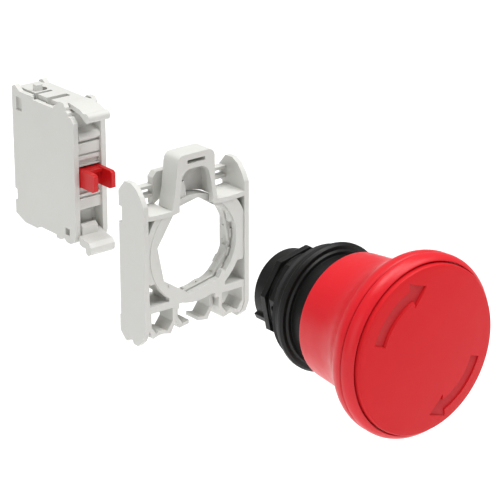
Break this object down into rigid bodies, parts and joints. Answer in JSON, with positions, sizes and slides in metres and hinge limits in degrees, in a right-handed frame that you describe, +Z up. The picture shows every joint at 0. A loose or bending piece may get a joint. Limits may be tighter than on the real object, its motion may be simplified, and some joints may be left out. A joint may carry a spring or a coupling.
{
  "type": "emergency stop button",
  "caption": "Panel-mounted turn-to-release mushroom emergency stop with clip-on mounting adapter and contact block, drawn apart along the button's axis.",
  "frame": {"origin": "on the button's axis, in the plane of the seal face that seats on the panel's front", "axes": "+Y into the panel along the button's axis, from the mushroom head to the contact block; +X to the right of someone facing the button; +Z up"},
  "size_m": [0.04, 0.158, 0.044],
  "materials": {
    "head_red": "satin moulded red plastic",
    "black_plastic": "satin moulded black plastic",
    "seal_rubber": "matte black rubber",
    "grey_plastic": "satin moulded light grey plastic",
    "plunger_red": "satin moulded red plastic",
    "contact_brass": "stamped brass strip",
    "steel": "zinc-plated steel"
  },
  "bodies": {
    "actuator_body": {"bezel_body": "black_plastic", "panel_gasket": "seal_rubber", "lip_seal": "seal_rubber", "return_spring": "steel"},
    "latch_pin_left": {"latch_pin_left": "steel"},
    "latch_pin_right": {"latch_pin_right": "steel"},
    "pusher": {"pusher": "black_plastic"},
    "head": {"face_disc": "head_red", "head_cap": "head_red", "head_skirt": "head_red", "stem": "black_plastic", "head_screw": "steel", "retaining_clip": "steel"},
    "adapter": {"adapter_frame": "grey_plastic"},
    "locking_ring": {"locking_ring": "grey_plastic"},
    "contact_block": {"block_shell_left": "grey_plastic", "block_shell_right": "grey_plastic", "mounting_foot": "grey_plastic", "fixed_contact_upper": "contact_brass", "clamp_plate_upper": "steel", "terminal_screw_upper": "steel", "fixed_contact_lower": "contact_brass", "clamp_plate_lower": "steel", "terminal_screw_lower": "steel", "plunger_spring": "steel"},
    "latch_lever": {"latch_lever": "grey_plastic"},
    "plunger": {"plunger_fork": "plunger_red", "contact_bridge": "contact_brass"}
  },
  "joints": [
    {"name": "head_push", "type": "slide", "parent": "actuator_body", "child": "pusher", "axis": [0, 1, 0], "range_m": [0, 0.0045], "stiffness_N_per_m": 1500, "springref_m": -0.003, "deforming": ["return_spring"]},
    {"name": "head_turn", "type": "hinge", "parent": "pusher", "child": "head", "pos_m": [0, 0, 0], "axis": [0, 1, 0], "range_deg": [0, 40], "stiffness_Nm_per_rad": 0.1},
    {"name": "latch_pin_left_slide", "type": "slide", "parent": "actuator_body", "child": "latch_pin_left", "axis": [1, 0, 0], "range_m": [0, 0.0011]},
    {"name": "latch_pin_right_slide", "type": "slide", "parent": "actuator_body", "child": "latch_pin_right", "axis": [-1, 0, 0], "range_m": [0, 0.0011]},
    {"name": "adapter_slide", "type": "slide", "parent": "actuator_body", "child": "adapter", "axis": [0, -1, 0], "range_m": [0, 0.0401]},
    {"name": "ring_turn", "type": "hinge", "parent": "adapter", "child": "locking_ring", "pos_m": [0, 0.0416, 0], "axis": [0, 1, 0], "range_deg": [0, 20]},
    {"name": "block_slide", "type": "slide", "parent": "adapter", "child": "contact_block", "axis": [0, -1, 0], "range_m": [0, 0.043]},
    {"name": "lever_lift", "type": "hinge", "parent": "contact_block", "child": "latch_lever", "pos_m": [0.0094, 0.101, 0.0174], "axis": [-1, 0, 0], "range_deg": [0, 12], "stiffness_Nm_per_rad": 0.3},
    {"name": "plunger_slide", "type": "slide", "parent": "contact_block", "child": "plunger", "axis": [0, 1, 0], "range_m": [0, 0.0045], "deforming": ["plunger_spring"]}
  ],
  "couplings": [
    {"joint": "latch_pin_left_slide", "follows": "head_push", "ratio": 0.2444},
    {"joint": "latch_pin_right_slide", "follows": "head_push", "ratio": 0.2444},
    {"joint": "plunger_slide", "follows": "head_push", "ratio": 1}
  ]
}
